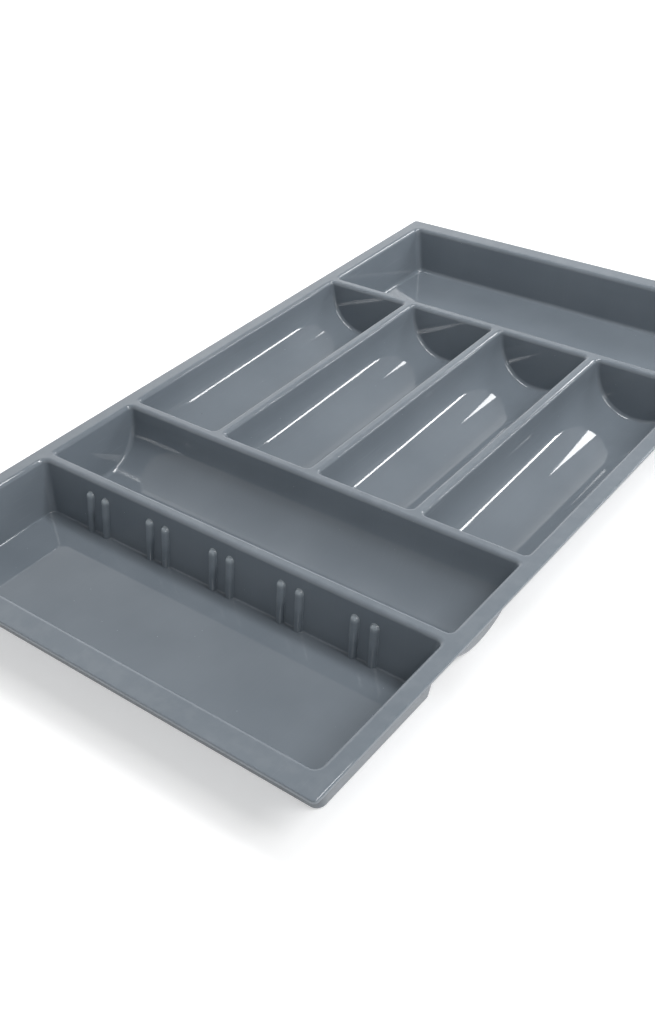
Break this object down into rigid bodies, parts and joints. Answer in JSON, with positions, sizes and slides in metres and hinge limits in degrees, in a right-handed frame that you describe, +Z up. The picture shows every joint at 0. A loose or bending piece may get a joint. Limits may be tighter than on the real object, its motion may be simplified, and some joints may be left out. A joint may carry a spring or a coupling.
{
  "type": "cutlery tray",
  "caption": "Formed plastic drawer tray under a flat rim: flat rear compartment, rounded cutlery scoops side by side, a scoop across, and a front compartment with divider guides.",
  "frame": {"origin": "middle of the tray's base, in plan the middle of the rim's outline", "axes": "+Z up, +Y from the compartment with the guide ribs towards the rear compartment, +X right"},
  "size_m": [0.348, 0.6, 0.04],
  "materials": {
    "tray_plastic": "glossy blue-grey, formed sheet"
  },
  "bodies": {
    "root": {"front_compartment": "tray_plastic", "rear_compartment": "tray_plastic", "cross_scoop": "tray_plastic", "cutlery_scoop_1": "tray_plastic", "cutlery_scoop_2": "tray_plastic", "cutlery_scoop_3": "tray_plastic", "cutlery_scoop_4": "tray_plastic", "front_rim_strip": "tray_plastic", "rear_rim_strip": "tray_plastic", "left_rim_strip": "tray_plastic", "right_rim_strip": "tray_plastic", "rear_rib_pair_1": "tray_plastic", "rear_rib_pair_2": "tray_plastic", "rear_rib_pair_3": "tray_plastic", "rear_rib_pair_4": "tray_plastic", "rear_rib_pair_5": "tray_plastic", "front_rib_pair_1": "tray_plastic", "front_rib_pair_2": "tray_plastic", "front_rib_pair_3": "tray_plastic", "front_rib_pair_4": "tray_plastic", "front_rib_pair_5": "tray_plastic"}
  },
  "joints": []
}
